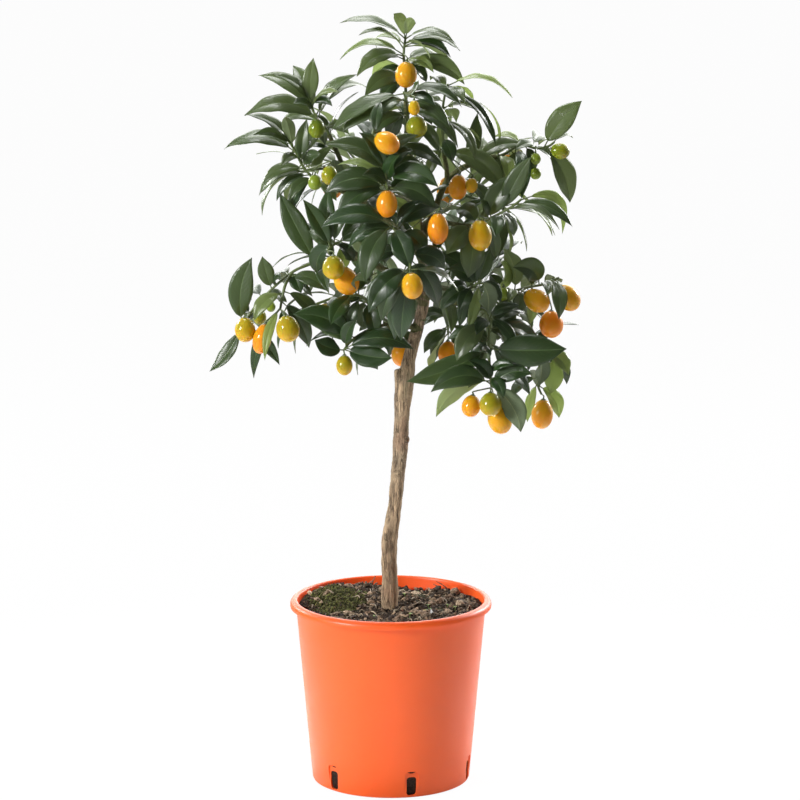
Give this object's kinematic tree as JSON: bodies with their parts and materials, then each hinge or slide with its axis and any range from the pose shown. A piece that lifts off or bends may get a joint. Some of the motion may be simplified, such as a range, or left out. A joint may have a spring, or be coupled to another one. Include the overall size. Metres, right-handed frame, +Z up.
{
  "type": "potted kumquat tree",
  "caption": "Small kumquat tree with a crooked stem and leafy sprays hung with kumquats, standing in soil in a flared round plastic pot with a curled lip.",
  "frame": {"origin": "centre of the pot's base, on its underside", "axes": "+Z up along the pot's axis, front of the plant towards -Y, +X to the right seen from the front"},
  "size_m": [0.3992, 0.3684, 0.8449],
  "materials": {
    "pot_plastic": "satin moulded orange-red plastic",
    "soil": "dark damp potting compost with bark chips and moss",
    "bark": "ridged grey-tan living bark",
    "leaf": "living leaf, glossy dark green above and grey-green below, green twigs",
    "fruit_orange": "glossy pebbled ripe peel",
    "fruit_yellow": "glossy pebbled ripening peel",
    "fruit_green": "glossy pebbled unripe peel"
  },
  "bodies": {
    "root": {"pot": "pot_plastic", "soil": "soil", "trunk": "bark", "spray_crown_top": "leaf", "spray_upper_front": "leaf", "spray_upper_left": "leaf", "spray_left_upper": "leaf", "spray_centre_upper": "leaf", "spray_centre": "leaf", "spray_left_front": "leaf", "spray_left_mid": "leaf", "spray_left_low": "leaf", "spray_left_far": "leaf", "spray_right_upper_front": "leaf", "spray_right_top": "leaf", "spray_right_middle": "leaf", "spray_right_node": "leaf", "spray_right": "leaf", "spray_right_stem": "leaf", "spray_right_low": "leaf", "spray_right_hanging": "leaf", "spray_back_upper_left": "leaf", "spray_back_upper_right": "leaf", "spray_back_left": "leaf", "spray_back_right": "leaf", "kumquat_01_yellow": "fruit_yellow", "kumquat_02_yellow": "fruit_yellow", "kumquat_03_green": "fruit_green", "kumquat_04_green": "fruit_green", "kumquat_05_green": "fruit_green", "kumquat_06_orange": "fruit_orange", "kumquat_07_orange": "fruit_orange", "kumquat_08_yellow": "fruit_yellow", "kumquat_09_orange": "fruit_orange", "kumquat_10_orange": "fruit_orange", "kumquat_11_yellow": "fruit_yellow", "kumquat_12_orange": "fruit_orange", "kumquat_13_yellow": "fruit_yellow", "kumquat_14_yellow": "fruit_yellow", "kumquat_15_orange": "fruit_orange", "kumquat_16_yellow": "fruit_yellow", "kumquat_17_green": "fruit_green", "kumquat_18_orange": "fruit_orange", "kumquat_19_yellow": "fruit_yellow", "kumquat_20_green": "fruit_green", "kumquat_21_orange": "fruit_orange", "kumquat_22_yellow": "fruit_yellow", "kumquat_23_yellow": "fruit_yellow", "kumquat_24_orange": "fruit_orange", "kumquat_25_orange": "fruit_orange", "kumquat_26_green": "fruit_green", "kumquat_27_orange": "fruit_orange", "kumquat_28_orange": "fruit_orange", "kumquat_29_orange": "fruit_orange", "kumquat_30_orange": "fruit_orange", "kumquat_31_orange": "fruit_orange", "kumquat_32_orange": "fruit_orange", "kumquat_33_yellow": "fruit_yellow", "kumquat_34_orange": "fruit_orange", "kumquat_35_orange": "fruit_orange"}
  },
  "joints": []
}
